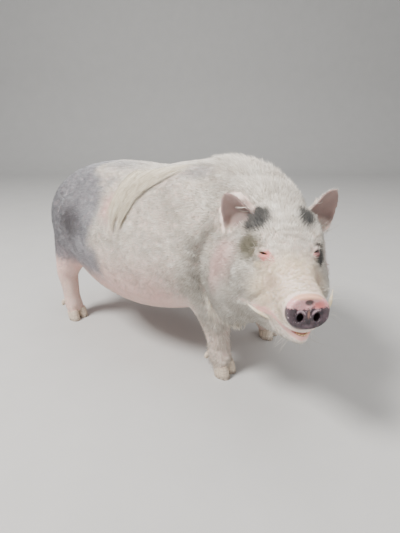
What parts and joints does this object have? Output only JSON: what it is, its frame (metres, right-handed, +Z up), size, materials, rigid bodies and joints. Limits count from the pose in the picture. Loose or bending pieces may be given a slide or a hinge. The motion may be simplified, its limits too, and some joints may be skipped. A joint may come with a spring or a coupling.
{
  "type": "pot-bellied pig",
  "caption": "Life-size still model of a standing white and grey pot-bellied pig, head turned to its right, with a bristly crest, upright ears, small tusks and cloven hooves.",
  "frame": {"origin": "on the floor under the middle of the animal's box", "axes": "+X the way the body points, +Y to the pig's left, +Z up"},
  "size_m": [0.9084, 0.4896, 0.5308],
  "materials": {
    "bristly_skin": "matte skin under white and grey bristles",
    "nose_skin": "moist, mottled pink and dark grey",
    "horn": "satin horn",
    "ivory": "smooth ivory",
    "eye": "wet gloss"
  },
  "bodies": {
    "root": {"snout": "nose_skin", "lower_jaw": "bristly_skin", "head": "bristly_skin", "leg_fore_right": "bristly_skin", "leg_hind_right": "bristly_skin", "leg_fore_left": "bristly_skin", "leg_hind_left": "bristly_skin", "neck": "bristly_skin", "torso": "bristly_skin", "hoof_fore_right_inner": "horn", "dewclaw_fore_right_inner": "horn", "hoof_fore_right_outer": "horn", "dewclaw_fore_right_outer": "horn", "hoof_hind_right_inner": "horn", "dewclaw_hind_right_inner": "horn", "hoof_hind_right_outer": "horn", "dewclaw_hind_right_outer": "horn", "hoof_fore_left_inner": "horn", "dewclaw_fore_left_inner": "horn", "hoof_fore_left_outer": "horn", "dewclaw_fore_left_outer": "horn", "hoof_hind_left_inner": "horn", "dewclaw_hind_left_inner": "horn", "hoof_hind_left_outer": "horn", "dewclaw_hind_left_outer": "horn", "eye_right": "eye", "eye_left": "eye", "tusk_right": "ivory", "ear_right": "bristly_skin", "tusk_left": "ivory", "ear_left": "bristly_skin", "teeth": "ivory", "tail": "bristly_skin"}
  },
  "joints": []
}
